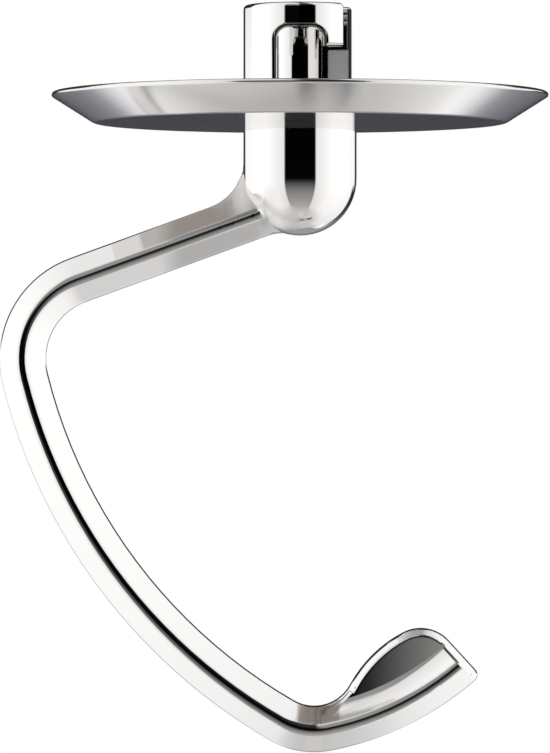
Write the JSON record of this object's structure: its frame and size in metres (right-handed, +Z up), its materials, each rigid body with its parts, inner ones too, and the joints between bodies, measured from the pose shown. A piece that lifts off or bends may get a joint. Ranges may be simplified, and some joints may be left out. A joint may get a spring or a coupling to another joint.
{
  "type": "stand mixer dough hook",
  "caption": "C-shaped polished steel dough hook with a scooped paddle at its tip, a dished guard plate and a bored hub with a bayonet slot that locks onto a mixer's drive shaft.",
  "frame": {"origin": "centre of the bore's mouth, on the hub's top face", "axes": "+Z up along the bore, out of its mouth; the hook's C lies in the XZ plane, with the arm going out to -X and the paddle's tip to +X; the bayonet seat faces -Y"},
  "size_m": [0.1163, 0.1052, 0.1584],
  "materials": {
    "polished_steel": "stainless steel casting polished to a mirror, with faint waviness",
    "polished_sheet": "stainless steel sheet polished to a mirror, with faint spun marks"
  },
  "bodies": {
    "root": {"hook": "polished_steel", "guard_plate": "polished_sheet"}
  },
  "joints": []
}
